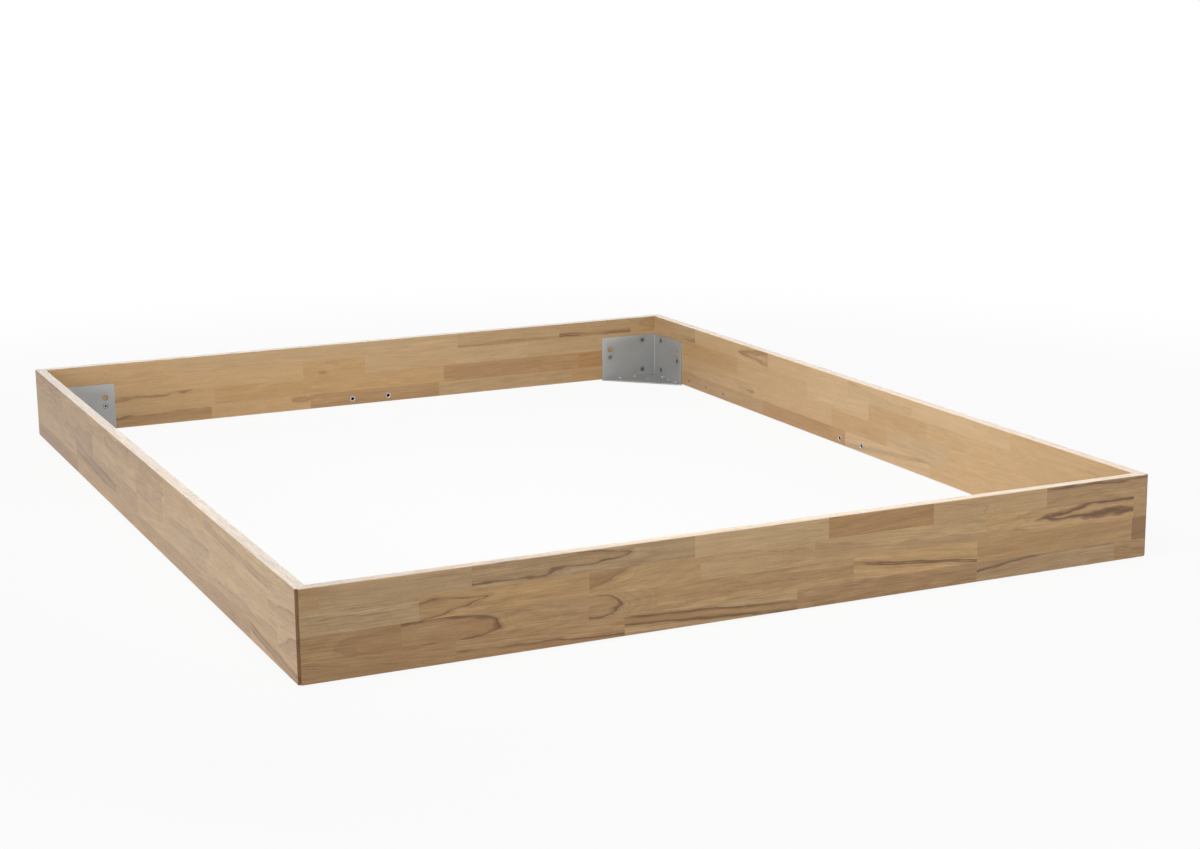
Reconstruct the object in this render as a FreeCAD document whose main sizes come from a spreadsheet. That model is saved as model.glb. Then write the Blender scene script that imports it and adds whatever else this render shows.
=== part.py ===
import FreeCAD
import Part

import os

import Sketcher

# Bed frame: four stave-glued boards meet in mitred corners. A bent steel angle, tack-welded to a
# triangular base plate, is screwed inside each corner, and the frame stands on the four plates.
# X runs across the bed, Y from the foot board to the head board, Z up. The origin lies on the floor
# below the middle of the frame. All lengths are in millimetres.

SIZES = {
    # mattress and boards
    "mattress_width": 1600,
    "mattress_length": 2000,
    "mattress_slack": 17,
    "board_thickness": 23,
    "board_height": 160,
    "board_edge_round": 1.5,
    "mitre_tip_blunt": 5,
    # corner angle and base plate
    "sheet_thickness": 3,
    "wing_length": 160,
    "wing_height": 113,
    "bend_radius": 2,
    "plate_thickness": 3,
    "leg_hole_dia": 11,
    "leg_hole_inset": 50,
    # places of the screws in each wing
    "pair_inset": 40,
    "pair_low_margin": 18.5,
    "pair_high_margin": 14.5,
    "wing_end_margin": 24,
    "wing_hole_rise": 21,
    "wing_hole_dia": 14,
    # countersunk screws with hexagon sockets
    "thread_dia": 8,
    "screw_length": 16,
    "screw_play": 0.2,
    "screw_tip_chamfer": 1,
    "socket_width": 5,
    "socket_depth": 2.2,
    # threaded sleeves
    "sleeve_dia": 12,
    "sleeve_length": 15,
    "sleeve_recess": 1,
    "sleeve_play": 0.1,
    "sleeve_mouth_chamfer": 0.8,
    "sleeve_collar_dia": 14,
    "sleeve_collar_thickness": 1.2,
    "bore_relief": 2,
    # sleeves and pilot holes along the lower edges of the boards
    "hole_line_height": 15,
    "beam_sleeve_spacing": 96,
    "pilot_dia": 5,
    "pilot_depth": 12,
    "pilot_first": 200,
    "pilot_step": 96,
    # tack welds between angle and plate
    "bead_length": 11,
    "bead_width": 3.6,
    "bead_height": 3,
}

PILOTS_PER_END = 3
# places of the welds along each wing, from the corner to the wing's end
FIRST_WING_BEAD_SHARES = (0.4, 0.67)
SECOND_WING_BEAD_SHARES = (0.32, 0.54, 0.81)

# sizes that follow from the driving ones
INNER_WIDTH = "(Sizes.mattress_width + 2 * Sizes.mattress_slack)"
INNER_LENGTH = "(Sizes.mattress_length + 2 * Sizes.mattress_slack)"
OUTER_BEND_RADIUS = "(Sizes.bend_radius + Sizes.sheet_thickness)"
HEAD_DIA = "(Sizes.thread_dia + 2 * Sizes.sheet_thickness)"
SCREW_HOLE_DIA = "(Sizes.thread_dia + 2 * Sizes.screw_play)"
COUNTERSINK_DIA = f"({HEAD_DIA} + 2 * Sizes.screw_play)"
SLEEVE_BORE_DIA = "(Sizes.thread_dia + 2 * Sizes.sleeve_play)"
WOOD_BORE_DIA = "(Sizes.sleeve_dia + 2 * Sizes.sleeve_play)"
WOOD_BORE_DEPTH = "(Sizes.sleeve_recess + Sizes.sleeve_length + Sizes.bore_relief)"
PAIR_LOW = "Sizes.pair_low_margin"
PAIR_HIGH = "(Sizes.wing_height - Sizes.pair_high_margin)"
END_HEIGHT = f"(({PAIR_LOW} + {PAIR_HIGH}) / 2)"
END_INSET = "(Sizes.wing_length - Sizes.wing_end_margin)"
WING_HOLE_HEIGHT = f"({END_HEIGHT} + Sizes.wing_hole_rise)"

# the screws of one wing: distance from the corner, and height above the boards' lower edges
SCREW_PLACES = (
    ("Sizes.pair_inset", PAIR_LOW),
    ("Sizes.pair_inset", PAIR_HIGH),
    (END_INSET, END_HEIGHT),
)

# each corner's side of the frame in X and in Y, in the order of the quarter turns of their wings
CORNERS = {
    "front_left": (-1, -1),
    "front_right": (1, -1),
    "back_right": (1, 1),
    "back_left": (-1, 1),
}

# each board's side of the frame in X and in Y, its inner length, and whether it has pilot holes,
# in the order of the boards' quarter turns
BOARDS = {
    "head_board": (0, 1, INNER_WIDTH, False),
    "left_side_rail": (-1, 0, INNER_LENGTH, True),
    "foot_board": (0, -1, INNER_WIDTH, False),
    "right_side_rail": (1, 0, INNER_LENGTH, True),
}

UP = FreeCAD.Vector(0, 0, 1)
ALONG_X = FreeCAD.Vector(1, 0, 0)
ALONG_Y = FreeCAD.Vector(0, 1, 0)
QUARTER_TURN_ANGLE = 90
COUNTERSINK_ANGLE = 90
# edges within this angle, in radians, of a direction run along it
PARALLEL_ANGLE = 0.001
# sketches start from a unit shape, which their constraints then draw out to size
UNIT_RADIUS = 1

doc = FreeCAD.newDocument("BedFrame")
sheet = doc.addObject("Spreadsheet::Sheet", "Sizes")
for row, (size_name, size_value) in enumerate(SIZES.items(), start=1):
    sheet.set(f"A{row}", size_name)
    sheet.set(f"B{row}", str(size_value))
    sheet.setAlias(f"B{row}", size_name)
doc.recompute()

nodes = []


def place(piece, x, y, z, turn=0, axis=UP):
    """Ties a piece's place to the sizes and turns it about one axis, in degrees."""
    piece.Placement = FreeCAD.Placement(FreeCAD.Vector(), FreeCAD.Rotation(axis, turn))
    for way, text in (("x", x), ("y", y), ("z", z)):
        piece.setExpression(f"Placement.Base.{way}", text)


def new_body(label):
    body = doc.addObject("PartDesign::Body", label)
    body.Label = label
    return body


def new_sketch(body, name, plane, offset="0"):
    """A sketch on one of the body's own origin planes, moved along the plane's normal."""
    sketch = body.newObject("Sketcher::SketchObject", name)
    support = [feature for feature in body.Origin.OriginFeatures if feature.Role == plane]
    sketch.AttachmentSupport = [(support[0], "")]
    sketch.MapMode = "FlatFace"
    sketch.setExpression("AttachmentOffset.Base.z", offset)
    return sketch


def tie_point(sketch, geometry, vertex, x, y):
    """Holds one point of a sketch at the two distances from the sketch's origin."""
    for kind, text in (("DistanceX", x), ("DistanceY", y)):
        index = sketch.addConstraint(Sketcher.Constraint(kind, -1, 1, geometry, vertex, 0))
        sketch.setExpression(f"Constraints[{index}]", text)


def draw_outline(sketch, corners):
    """A closed outline of straight lines through corners given as pairs of expressions."""
    count = len(corners)
    ring = Part.makeCircle(UNIT_RADIUS).discretize(count + 1)
    for index in range(count):
        sketch.addGeometry(Part.LineSegment(ring[index], ring[index + 1]), False)
    for index in range(count):
        sketch.addConstraint(Sketcher.Constraint("Coincident", index, 2, (index + 1) % count, 1))
    for index, (x, y) in enumerate(corners):
        tie_point(sketch, index, 1, x, y)


def draw_circles(sketch, centres, diameter):
    for x, y in centres:
        circle = sketch.addGeometry(Part.Circle(FreeCAD.Vector(), UP, UNIT_RADIUS), False)
        tie_point(sketch, circle, 3, x, y)
        index = sketch.addConstraint(Sketcher.Constraint("Diameter", circle, 2 * UNIT_RADIUS))
        sketch.setExpression(f"Constraints[{index}]", diameter)


def pad(body, name, sketch, length):
    feature = body.newObject("PartDesign::Pad", name)
    feature.Profile = sketch
    feature.setExpression("Length", length)
    doc.recompute()
    return feature


def finish_cut(body, feature, before):
    """Stops the build where a cut points away from the solid."""
    doc.recompute()
    if body.Shape.Volume >= before:
        raise RuntimeError(f"{body.Label}: {feature.Label} removes nothing")


def pocket(body, name, sketch, depth, reverse=False):
    """Cuts a sketch into the body to a depth, against the sketch's normal unless reversed."""
    before = body.Shape.Volume
    feature = body.newObject("PartDesign::Pocket", name)
    feature.Profile = sketch
    feature.Reversed = reverse
    feature.setExpression("Length", depth)
    finish_cut(body, feature, before)


def countersunk_holes(body, name, sketch, reverse):
    """Through holes for the countersunk screws, their wide ends in the sketch's plane."""
    before = body.Shape.Volume
    doc.recompute()
    feature = body.newObject("PartDesign::Hole", name)
    feature.Profile = sketch
    feature.Reversed = reverse
    doc.recompute()
    feature.DepthType = "ThroughAll"
    feature.ThreadType = "None"
    feature.setExpression("Diameter", SCREW_HOLE_DIA)
    feature.HoleCutType = "Countersink"
    feature.HoleCutCustomValues = True
    feature.setExpression("HoleCutDiameter", COUNTERSINK_DIA)
    feature.HoleCutCountersinkAngle = COUNTERSINK_ANGLE
    finish_cut(body, feature, before)


def straight_edges(feature, direction):
    """The straight edges of a feature along one direction, by name."""
    return {
        f"Edge{number}": edge
        for number, edge in enumerate(feature.Shape.Edges, start=1)
        if isinstance(edge.Curve, Part.Line) and edge.Curve.Direction.isParallel(direction, PARALLEL_ANGLE)
    }


def upright_edge(feature, reach):
    """The name of the upright edge nearest to the point that lies as far along X as along Y."""
    edges = straight_edges(feature, UP)
    point = FreeCAD.Vector(reach, reach, 0)
    return min(edges, key=lambda name: point.distanceToLine(edges[name].CenterOfMass, UP))


def round_edges(body, name, base, edge_names, radius):
    feature = body.newObject("PartDesign::Fillet", name)
    feature.Base = (base, edge_names)
    feature.setExpression("Radius", radius)
    doc.recompute()
    return feature


def turned(body, name, corners):
    """A round piece: an outline in the XZ plane, turned about Z."""
    sketch = new_sketch(body, f"{name}_outline", "XZ_Plane")
    draw_outline(sketch, corners)
    feature = body.newObject("PartDesign::Revolution", name)
    feature.Profile = sketch
    feature.ReferenceAxis = (sketch, ["V_Axis"])
    feature.Angle = 4 * QUARTER_TURN_ANGLE
    doc.recompute()


def group(label, pieces):
    """One node of separate like solids."""
    node = doc.addObject("Part::Compound", label)
    node.Label = label
    node.Links = pieces
    nodes.append(node)
    return node


def place_board_piece(piece, board):
    """Lays a piece drawn against a board's inner face, with that face in the XZ plane, into the frame."""
    side_x, side_y, _, _ = BOARDS[board]
    x = f"{side_x} * {INNER_WIDTH} / 2"
    y = f"{side_y} * {INNER_LENGTH} / 2"
    place(piece, x, y, "Sizes.plate_thickness", list(BOARDS).index(board) * QUARTER_TURN_ANGLE)


def place_corner_piece(piece, corner):
    """Lays a piece drawn at an inner corner, with wings along X and Y, into the frame."""
    side_x, side_y = CORNERS[corner]
    x = f"{side_x} * {INNER_WIDTH} / 2"
    y = f"{side_y} * {INNER_LENGTH} / 2"
    place(piece, x, y, "0", list(CORNERS).index(corner) * QUARTER_TURN_ANGLE)


def make_board(label):
    """A board with mitred ends. Its inner face lies in XZ, its thickness runs along Y from there."""
    _, _, inner, has_pilots = BOARDS[label]
    half = f"{inner} / 2"
    end = f"({inner} / 2 + Sizes.board_thickness - Sizes.mitre_tip_blunt)"
    tip = "(Sizes.board_thickness - Sizes.mitre_tip_blunt)"
    body = new_body(label)
    plan = new_sketch(body, "plan", "XY_Plane")
    draw_outline(
        plan,
        (
            (f"-{half}", "0"),
            (half, "0"),
            (end, tip),
            (end, "Sizes.board_thickness"),
            (f"-{end}", "Sizes.board_thickness"),
            (f"-{end}", tip),
        ),
    )
    block = pad(body, "block", plan, "Sizes.board_height")
    round_edges(body, "long_edges", block, list(straight_edges(block, ALONG_X)), "Sizes.board_edge_round")

    bores = new_sketch(body, "screw_bore_centres", "XZ_Plane")
    centres = [
        (f"{side} * ({half} - {inset})", height)
        for side in (-1, 1)
        for inset, height in SCREW_PLACES
    ]
    draw_circles(bores, centres, WOOD_BORE_DIA)
    pocket(body, "screw_bores", bores, WOOD_BORE_DEPTH)

    middle = new_sketch(body, "beam_bore_centres", "XZ_Plane")
    centres = [(f"{side} * Sizes.beam_sleeve_spacing / 2", "Sizes.hole_line_height") for side in (-1, 1)]
    draw_circles(middle, centres, WOOD_BORE_DIA)
    pocket(body, "beam_bores", middle, WOOD_BORE_DEPTH)

    if has_pilots:
        row = new_sketch(body, "pilot_centres", "XZ_Plane")
        insets = [f"Sizes.pilot_first + {number} * Sizes.pilot_step" for number in range(PILOTS_PER_END)]
        centres = [
            (f"{side} * ({half} - ({inset}))", "Sizes.hole_line_height")
            for side in (-1, 1)
            for inset in insets
        ]
        draw_circles(row, centres, "Sizes.pilot_dia")
        pocket(body, "pilot_holes", row, "Sizes.pilot_depth")
    place_board_piece(body, label)
    nodes.append(body)


def make_angle(corner):
    """A bent sheet with one wing along X and one along Y, its back on the boards' inner faces."""
    body = new_body(f"corner_angle_{corner}")
    plan = new_sketch(body, "plan", "XY_Plane", "Sizes.plate_thickness")
    wing, sheet_size = "Sizes.wing_length", "Sizes.sheet_thickness"
    draw_outline(
        plan,
        (
            ("0", "0"),
            (wing, "0"),
            (wing, sheet_size),
            (sheet_size, sheet_size),
            (sheet_size, wing),
            ("0", wing),
        ),
    )
    block = pad(body, "block", plan, "Sizes.wing_height")
    inner_edge = [upright_edge(block, sheet.sheet_thickness)]
    inside = round_edges(body, "inside_bend", block, inner_edge, "Sizes.bend_radius")
    round_edges(body, "outside_bend", inside, [upright_edge(inside, 0)], OUTER_BEND_RADIUS)

    # the first wing's face looks along Y and the second wing's along X
    for name, plane, offset, reverse in (
        ("first_wing", "XZ_Plane", "-Sizes.sheet_thickness", True),
        ("second_wing", "YZ_Plane", "Sizes.sheet_thickness", False),
    ):
        screws = new_sketch(body, f"{name}_screw_centres", plane, offset)
        centres = [(inset, f"Sizes.plate_thickness + {height}") for inset, height in SCREW_PLACES]
        draw_circles(screws, centres, SCREW_HOLE_DIA)
        countersunk_holes(body, f"{name}_screw_holes", screws, reverse)
        plain = new_sketch(body, f"{name}_hole_centre", plane, offset)
        centre = (END_INSET, f"Sizes.plate_thickness + {WING_HOLE_HEIGHT}")
        draw_circles(plain, [centre], "Sizes.wing_hole_dia")
        pocket(body, f"{name}_hole", plain, "Sizes.sheet_thickness", reverse)
    place_corner_piece(body, corner)
    nodes.append(body)


def make_plate(corner):
    """A triangular plate under the angle, cut straight from one wing's end to the other's."""
    body = new_body(f"base_plate_{corner}")
    plan = new_sketch(body, "plan", "XY_Plane")
    wing, tip = "Sizes.wing_length", "Sizes.sheet_thickness"
    draw_outline(plan, (("0", "0"), (wing, "0"), (wing, tip), (tip, wing), ("0", wing)))
    block = pad(body, "block", plan, "Sizes.plate_thickness")
    round_edges(body, "corner_round", block, [upright_edge(block, 0)], OUTER_BEND_RADIUS)
    leg = new_sketch(body, "leg_hole_centre", "XY_Plane")
    draw_circles(leg, [("Sizes.leg_hole_inset", "Sizes.leg_hole_inset")], "Sizes.leg_hole_dia")
    pocket(body, "leg_hole", leg, "Sizes.plate_thickness", reverse=True)
    place_corner_piece(body, corner)
    nodes.append(body)


def make_screw():
    """A countersunk screw, its head's face in XY and its shank down Z."""
    body = new_body("countersunk_screw")
    head, shank = f"{HEAD_DIA} / 2", "Sizes.thread_dia / 2"
    turned(
        body,
        "shaft",
        (
            ("0", "0"),
            (head, "0"),
            (shank, "-Sizes.sheet_thickness"),
            (shank, "-(Sizes.screw_length - Sizes.screw_tip_chamfer)"),
            (f"{shank} - Sizes.screw_tip_chamfer", "-Sizes.screw_length"),
            ("0", "-Sizes.screw_length"),
        ),
    )
    socket = new_sketch(body, "socket_outline", "XY_Plane")
    flat, point = "Sizes.socket_width / 2", "Sizes.socket_width / sqrt(3)"
    draw_outline(
        socket,
        (
            (point, "0"),
            (f"{point} / 2", flat),
            (f"-{point} / 2", flat),
            (f"-{point}", "0"),
            (f"-{point} / 2", f"-{flat}"),
            (f"{point} / 2", f"-{flat}"),
        ),
    )
    pocket(body, "socket", socket, "Sizes.socket_depth")
    return body


def make_sleeve(label, has_collar):
    """A threaded sleeve, its mouth up Z. The collar, where it has one, lies on the board's face."""
    bore, wall = f"{SLEEVE_BORE_DIA} / 2", "Sizes.sleeve_dia / 2"
    mouth = f"{bore} + Sizes.sleeve_mouth_chamfer"
    if has_collar:
        top, rim = "Sizes.sleeve_collar_thickness", "Sizes.sleeve_collar_dia / 2"
        shoulder = ((rim, top), (rim, "0"), (wall, "0"))
    else:
        top = "0"
        shoulder = ((wall, top),)
    body = new_body(label)
    turned(
        body,
        "wall",
        (
            (bore, "-Sizes.sleeve_length"),
            (bore, f"{top} - Sizes.sleeve_mouth_chamfer"),
            (mouth, top),
            *shoulder,
            (wall, "-Sizes.sleeve_length"),
        ),
    )
    return body


def linked(piece, name, x, y, z, axis, turn):
    """One more of a piece, at a place of its own."""
    copy = doc.addObject("App::Link", name)
    copy.LinkedObject = piece
    copy.LinkTransform = True
    place(copy, x, y, z, turn, axis)
    return copy


def at_screw_places(piece, name, sunk):
    """The piece at each screw place of both wings, its face sunk that far behind the boards' inner faces."""
    copies = []
    for number, (inset, height) in enumerate(SCREW_PLACES, start=1):
        z = f"Sizes.plate_thickness + {height}"
        depth = f"-({sunk})"
        first, second = f"{name}_first_wing_{number}", f"{name}_second_wing_{number}"
        copies.append(linked(piece, first, inset, depth, z, ALONG_X, -QUARTER_TURN_ANGLE))
        copies.append(linked(piece, second, depth, inset, z, ALONG_Y, QUARTER_TURN_ANGLE))
    return copies


def make_beads():
    """Tack welds in the seam between plate and wings: quarter ellipsoids, long along the seam."""
    beads = []
    wings = ((FIRST_WING_BEAD_SHARES, 0), (SECOND_WING_BEAD_SHARES, -QUARTER_TURN_ANGLE))
    for shares, turn in wings:
        for share in shares:
            bead = doc.addObject("Part::Ellipsoid", "bead")
            bead.setExpression("Radius1", "Sizes.bead_height")
            bead.setExpression("Radius2", "Sizes.bead_length / 2")
            bead.setExpression("Radius3", "Sizes.bead_width")
            bead.Angle1 = 0
            bead.Angle2 = QUARTER_TURN_ANGLE
            bead.Angle3 = 2 * QUARTER_TURN_ANGLE
            along = f"{share} * Sizes.wing_length"
            seam = "Sizes.sheet_thickness"
            x, y = (seam, along) if turn else (along, seam)
            place(bead, x, y, "Sizes.plate_thickness", turn)
            beads.append(bead)
    return beads


for board in BOARDS:
    make_board(board)

screws = at_screw_places(make_screw(), "screw", "-Sizes.sheet_thickness")
sleeves = at_screw_places(make_sleeve("threaded_sleeve", False), "sleeve", "Sizes.sleeve_recess")
beads = make_beads()
for corner in CORNERS:
    make_angle(corner)
    make_plate(corner)
    for kind, pieces in (("angle_screws", screws), ("screw_sleeves", sleeves), ("weld_beads", beads)):
        place_corner_piece(group(f"{kind}_{corner}", pieces), corner)

collared = make_sleeve("collared_sleeve", True)
beam_sleeves = [
    linked(
        collared,
        f"beam_sleeve_{number}",
        f"{side} * Sizes.beam_sleeve_spacing / 2",
        "0",
        "Sizes.hole_line_height",
        ALONG_X,
        QUARTER_TURN_ANGLE,
    )
    for number, side in enumerate((-1, 1), start=1)
]
for board in BOARDS:
    place_board_piece(group(f"beam_sleeves_{board}", beam_sleeves), board)

doc.recompute()
for piece in doc.Objects:
    if "Invalid" in piece.State or "Error" in piece.State:
        raise RuntimeError(f"{piece.Label} failed: {piece.State}")
for node in nodes:
    if node.Shape.isNull() or not node.Shape.isValid():
        raise RuntimeError(f"{node.Label} has no valid shape")

os.makedirs("parts", exist_ok=True)
for node in nodes:
    node.Shape.exportStep(f"parts/{node.Label}.step")
    print(node.Label, len(node.Shape.Solids), round(node.Shape.Volume), node.Shape.BoundBox)
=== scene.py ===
"""A heart beech bed frame: four boards glued from staves, joined by steel angles at the corners."""

import math
import random
from collections import namedtuple

import bmesh
import bpy
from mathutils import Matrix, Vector


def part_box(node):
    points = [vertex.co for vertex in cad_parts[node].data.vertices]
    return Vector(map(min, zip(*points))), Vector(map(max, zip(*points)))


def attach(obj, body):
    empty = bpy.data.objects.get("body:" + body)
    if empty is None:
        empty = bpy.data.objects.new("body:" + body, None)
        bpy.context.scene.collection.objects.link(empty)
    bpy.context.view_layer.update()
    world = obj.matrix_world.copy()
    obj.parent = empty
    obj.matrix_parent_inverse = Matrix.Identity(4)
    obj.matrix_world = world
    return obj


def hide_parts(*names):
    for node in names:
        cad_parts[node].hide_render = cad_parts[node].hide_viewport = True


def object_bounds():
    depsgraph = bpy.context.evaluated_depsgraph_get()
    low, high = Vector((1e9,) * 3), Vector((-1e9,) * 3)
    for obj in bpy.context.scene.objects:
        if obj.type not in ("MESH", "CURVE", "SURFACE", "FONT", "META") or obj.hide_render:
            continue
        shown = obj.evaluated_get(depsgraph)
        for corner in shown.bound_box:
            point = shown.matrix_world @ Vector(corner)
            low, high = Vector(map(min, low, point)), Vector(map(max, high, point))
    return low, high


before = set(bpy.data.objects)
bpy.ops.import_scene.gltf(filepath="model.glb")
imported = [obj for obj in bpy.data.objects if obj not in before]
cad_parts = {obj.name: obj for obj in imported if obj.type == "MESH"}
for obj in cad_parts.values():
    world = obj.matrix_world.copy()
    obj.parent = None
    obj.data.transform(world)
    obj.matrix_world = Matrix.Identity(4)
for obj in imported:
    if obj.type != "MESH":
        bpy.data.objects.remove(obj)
cad_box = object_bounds()

bl_info = {
    "name": "Heart Beech Bed Frame",
    "version": (1, 0, 0),
    "blender": (4, 5, 0),
    "location": "3D View > Sidebar > Bed Frame",
    "description": "Dresses a bed frame in staves of heart beech, coated steel and zinc plate",
    "category": "Object",
}

MM = 0.001
BODY = "root"
CORNERS = ("front_left", "front_right", "back_right", "back_left")

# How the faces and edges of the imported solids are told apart.
MERGE_DISTANCE = 0.002 * MM
FLAT_ANGLE = math.radians(0.5)
SHARP_ANGLE = math.radians(32)
SQUARE_ANGLE = math.radians(70)
UPWARDS = 0.9
END_GRAIN = 0.9
MITRE_SLANT = 0.6
HOLE_MARGIN = 1 * MM
RIM_EDGE = 2 * MM

# Settings that bevels and turned shapes share.
BEVEL_PROFILE = 0.5
KEEP_MATERIAL = -1
FULL_TURN = math.tau

# The screws: how far a socket reaches from the axis, how deep it starts, and the heads' rim and
# how much painted shade lies beyond it.
SOCKET_REACH = 3.2 * MM
SOCKET_START = 0.1 * MM
HEAD_RIM = 6 * MM
RIM_SHADE = 0.6

# The collared sleeves: half widths of bore and wall, and lengths along the sleeve.
SLEEVE_BORE = 4.1 * MM
SLEEVE_WALL = 6 * MM
SLEEVE_CHAMFER = 0.8 * MM
SLEEVE_COLLAR = 1.2 * MM
SLEEVE_FLOOR = 1 * MM
COLLAR_ROUND = 0.3 * MM
SLEEVE_STEPS = 40

# What a face's corners carry: their place, their stave's growth and looks (with painted light on
# sides and tops and painted shade in holes), painted shade in recesses, or a weld.
PLACE_MARKS = ("grain_place", "stave_share")
GROWTH_MARKS = ("growth_line", "growth_bend")
STAVE_MARKS = (
    "stave_tone", "stave_hue", "heart_fill", "heart_line", "end_grain", "bored", "grain_strength",
    "waver")
RECESS_SHADE_MARK = "recess_shade"
WELD_MARK = "weld"

# How steeply fibres may climb, in stave widths, how far the rings lean through a board, in stave
# widths per metre, and how far the patterns of two staves may lie apart, in metres.
FIBRE_SLOPE = 0.35
RING_TILT = 6
PATTERN_SHIFT = 40


def linear(hex_colour):
    """The linear red, green and blue of an sRGB hex colour."""
    parts = [int(hex_colour[place:place + 2], 16) / 255 for place in (1, 3, 5)]
    return tuple(
        part / 12.92 if part <= 0.04045 else ((part + 0.055) / 1.055) ** 2.4 for part in parts)


WHITE = (*linear("#FFFFFF"), 1)


def colour_property(name, description, hex_colour):
    """A colour that a user may change, from its sRGB hex value."""
    return bpy.props.FloatVectorProperty(
        name=name, description=description, default=linear(hex_colour), subtype="COLOR", min=0,
        max=1)


def length_property(name, description, millimetres):
    """A length that a user may change, kept in metres."""
    return bpy.props.FloatProperty(
        name=name, description=description, default=millimetres * MM, unit="LENGTH", min=0,
        precision=4)


def factor_property(name, description, default):
    """A share from none to all that a user may change."""
    return bpy.props.FloatProperty(
        name=name, description=description, default=default, subtype="FACTOR", min=0, max=1)


class BoardLooks(bpy.types.PropertyGroup):
    """Sizes and colours of the glued boards."""

    stave_width: length_property("Stave Width", "Height of one row of staves", 42)
    ring_spacing: length_property("Ring Spacing", "Distance between growth rings that show", 8)
    fleck_length: length_property("Fleck Length", "Length of the ray flecks along the grain", 5)
    fleck_width: length_property("Fleck Width", "Width of the ray flecks", 0.7)
    mitre_groove: length_property("Mitre Groove", "Easing of the mitre joints' upper edges", 1.2)
    pale: colour_property("Pale Sapwood", "Colour of the palest staves", "#DFBB88")
    brown: colour_property("Brown Sapwood", "Colour of the darkest plain staves", "#A1794C")
    heart: colour_property("Heartwood", "Colour inside a heart figure", "#A0774A")
    border: colour_property("Heart Border", "Colour of the line round a heart figure", "#75502E")
    # Painted shade: a near black colour painted on the walls inside the drilled holes, for the
    # shade deep in them.
    bore_shade: colour_property("Bore", "Colour of the drilled holes' scorched walls", "#2E2014")
    roughness: factor_property("Roughness", "Roughness of the oiled wood", 0.46)
    gloss: factor_property("Gloss", "Strength of the bare wood's own reflections", 0.5)
    oil: factor_property("Oil", "How much of an oil film lies on the wood", 0.35)
    oil_roughness: factor_property("Oil Roughness", "Roughness of the oil film", 0.3)


class SteelLooks(bpy.types.PropertyGroup):
    """Sizes and colours of the steel angles, their plates and their fasteners."""

    coat: colour_property("Coat", "Silver grey coat on the angles and plates", "#B0B1B0")
    # Painted highlight: the weld beads are painted a little paler than the coat, for the light that
    # they catch from above.
    weld: colour_property("Weld", "Paler coat on the weld beads", "#B8B9B8")
    zinc: colour_property("Zinc", "Zinc plate on the screws and sleeves", "#C6C8C8")
    # Painted shade: this dark colour is painted into the screws' sockets, fainter beyond the heads'
    # rims, and into the sleeves' bores, for the shade in those recesses.
    oil: colour_property("Oil", "Dark oil in the screws' sockets and the sleeves' bores", "#1E1D1B")
    coat_roughness: factor_property("Coat Roughness", "Roughness of the coat", 0.45)
    edge_round: length_property("Edge Round", "Rounding of the cut sheet's edges", 0.7)
    hole_chamfer: length_property("Hole Chamfer", "Chamfer of the plain holes in the sheet", 1.3)
    screw_round: length_property("Screw Round", "Rounding of the screws' edges", 0.45)
    ripple_spacing: length_property("Ripple Spacing", "Distance between the ripples of a weld", 1.8)
    ripple_depth: factor_property(
        "Ripple Depth", "Depth of a weld's ripples as a share of its height", 0.16)
    thread_pitch: length_property("Thread Pitch", "Pitch of the threads in the sleeves", 1.25)
    thread_depth: length_property("Thread Depth", "Depth of the threads in the sleeves", 0.7)


class StageLooks(bpy.types.PropertyGroup):
    """The camera, the floor and the even light."""

    camera_place: bpy.props.FloatVectorProperty(
        name="Camera Place", description="Where the camera stands",
        default=(-1.8211, -4.3057, 1.1657), subtype="TRANSLATION", unit="LENGTH")
    camera_turn: bpy.props.FloatVectorProperty(
        name="Camera Turn", description="How the camera is turned",
        default=(math.radians(90 - 12.364), math.radians(0.595), math.radians(-25.030)),
        subtype="EULER")
    photo_width: bpy.props.FloatProperty(
        name="Photo Width", description="Width of the photograph in pixels", default=1200,
        subtype="PIXEL")
    focal_pixels: bpy.props.FloatProperty(
        name="Focal Length", description="Focal length in pixels of the photograph", default=2221.5,
        subtype="PIXEL")
    sky: bpy.props.FloatProperty(
        name="Sky", description="Strength of the even light from all round", default=0.1, min=0)
    floor: colour_property("Floor", "Paint of the studio floor", "#EFEFEF")
    floor_glow: factor_property("Floor Glow", "How white the eye sees the floor near the bed", 0.92)
    floor_shine: factor_property("Floor Shine", "How much of that white reflections see", 0.86)


class BedFrameLooks(bpy.types.PropertyGroup):
    """Everything that a user may change."""

    boards: bpy.props.PointerProperty(type=BoardLooks)
    steel: bpy.props.PointerProperty(type=SteelLooks)
    stage: bpy.props.PointerProperty(type=StageLooks)


# Materials

# A cloudy pattern: its sizes in millimetres along x, y and z, its detail, and its weight.
Cloud = namedtuple("Cloud", "sizes detail weight", defaults=(1.0,))

# Slow drifts that bend a stave's figure along and across the stave, and the gentlest slope of a
# figure that still gives a distance.
DRIFT = Cloud((130, 40, 40), 1.0, 0.09)
SWAY = Cloud((120, 30, 30), 2.0, 0.6)
WOBBLE = Cloud((46, 17, 17), 3.0, 0.4)
LEAST_CLIMB = 0.25

# The plain wood: streaks along the rings, a broad tint, grain from coarse to fine, and how lively
# it is from place to place.
STREAK_LENGTH = 260
STREAK_THROUGH = 14
STREAK_DETAIL = 5.0
STREAK_WEIGHT = 1.7
TINT = Cloud((500, 24, 30), 2.0, 2.4)
GRAIN = (
    Cloud((200, 6, 9), 4.0, 1.9),
    Cloud((90, 2.2, 4), 3.0, 2.2),
    Cloud((70, 16, 16), 3.0, 2.2),
    Cloud((40, 1.4, 1.4), 2.0, 2.8),
)
LIVELY = Cloud((300, 60, 60), 1.0)
LIVELY_RANGE = (-0.2, 0.2, 0.5, 1.3)
TONE_STEP = 0.28
MIDDLE_TONE = 0.5
HUE_STEP = (-0.022, 0.012, 0.085)

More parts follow.
